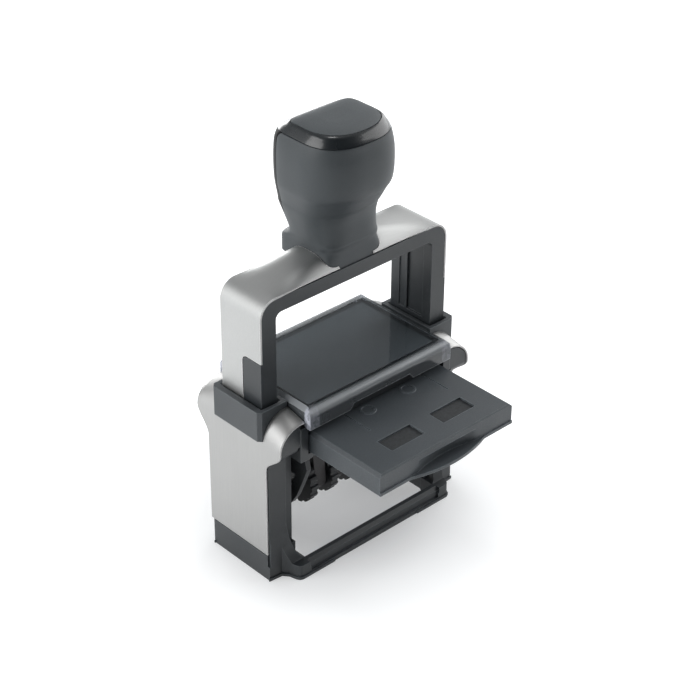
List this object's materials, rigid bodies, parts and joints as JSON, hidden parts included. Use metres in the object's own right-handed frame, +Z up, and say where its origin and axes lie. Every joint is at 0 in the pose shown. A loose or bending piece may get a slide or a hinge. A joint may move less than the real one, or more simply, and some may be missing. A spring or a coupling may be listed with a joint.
{
  "type": "self-inking date stamp",
  "caption": "Self-inking date stamp with a bridge handle, flip-over type carrier and a pull-out ink cassette.",
  "frame": {"origin": "centre of the imprint, on the surface that the stamp stands on", "axes": "+Z up along the press travel, +Y to the back, +X to the right seen from the front"},
  "size_m": [0.0946, 0.0838, 0.1635],
  "materials": {
    "black_plastic": "fine satin grain",
    "graphite_plastic": "fine satin grain",
    "brushed_steel": "brushed",
    "card": "matt",
    "clear_plastic": "polished",
    "pin_steel": "ground",
    "cassette_plastic": "fine satin grain",
    "felt": "inked felt",
    "grip_rubber": "soft-touch matt",
    "gloss_black": "polished",
    "inlay_grey": "matt",
    "die_rubber": "matt",
    "band_rubber": "matt",
    "wheel_plastic": "satin"
  },
  "bodies": {
    "housing": {"base_frame": "black_plastic", "pad_housing": "black_plastic", "left_side_cover": "brushed_steel", "right_side_cover": "brushed_steel", "left_collar": "graphite_plastic", "right_collar": "graphite_plastic", "index_card": "card", "window_cover": "clear_plastic", "left_spring_rod": "pin_steel", "right_spring_rod": "pin_steel", "left_return_spring": "pin_steel", "right_return_spring": "pin_steel"},
    "cassette": {"pad_cassette": "cassette_plastic", "felt_pad": "felt"},
    "handle": {"bridge_frame": "black_plastic", "left_bridge_cover": "brushed_steel", "right_bridge_cover": "brushed_steel", "knob_stem": "black_plastic", "knob_grip": "grip_rubber", "knob_cap": "gloss_black", "knob_inlay": "inlay_grey", "knob_screws": "pin_steel", "left_pivot_pin": "pin_steel", "right_pivot_pin": "pin_steel"},
    "lock": {"lock_button": "gloss_black"},
    "type_carrier": {"carrier_frame": "black_plastic", "text_plate": "black_plastic", "text_rubber": "die_rubber", "band_bar": "black_plastic", "wheel_axle": "pin_steel", "date_band_1": "band_rubber", "date_band_2": "band_rubber", "date_band_3": "band_rubber", "date_band_4": "band_rubber"},
    "wheel_1": {"setting_wheel_1": "wheel_plastic"},
    "wheel_2": {"setting_wheel_2": "wheel_plastic"},
    "wheel_3": {"setting_wheel_3": "wheel_plastic"},
    "wheel_4": {"setting_wheel_4": "wheel_plastic"}
  },
  "joints": [
    {"name": "press", "type": "slide", "parent": "housing", "child": "handle", "axis": [0, 0, -1], "range_m": [0, 0.0323], "stiffness_N_per_m": 300, "springref_m": -0.012, "deforming": ["left_return_spring", "right_return_spring"]},
    {"name": "carrier_flip", "type": "hinge", "parent": "handle", "child": "type_carrier", "pos_m": [0, 0, 0.0415], "axis": [1, 0, 0], "range_deg": [0, 180]},
    {"name": "cassette_slide", "type": "slide", "parent": "housing", "child": "cassette", "axis": [0, -1, 0], "range_m": [-0.0327, 0.008]},
    {"name": "lock_press", "type": "slide", "parent": "handle", "child": "lock", "axis": [0, -1, 0], "range_m": [0, 0.002], "stiffness_N_per_m": 400, "springref_m": -0.002},
    {"name": "wheel_1_turn", "type": "hinge", "parent": "type_carrier", "child": "wheel_1", "pos_m": [0, 0, 0.0233], "axis": [1, 0, 0], "continuous": true},
    {"name": "wheel_2_turn", "type": "hinge", "parent": "type_carrier", "child": "wheel_2", "pos_m": [0, 0, 0.0233], "axis": [1, 0, 0], "continuous": true},
    {"name": "wheel_3_turn", "type": "hinge", "parent": "type_carrier", "child": "wheel_3", "pos_m": [0, 0, 0.0233], "axis": [1, 0, 0], "continuous": true},
    {"name": "wheel_4_turn", "type": "hinge", "parent": "type_carrier", "child": "wheel_4", "pos_m": [0, 0, 0.0233], "axis": [1, 0, 0], "continuous": true}
  ],
  "couplings": [
    {"joint": "carrier_flip", "follows": "press", "rad_per_m": 97.25}
  ]
}
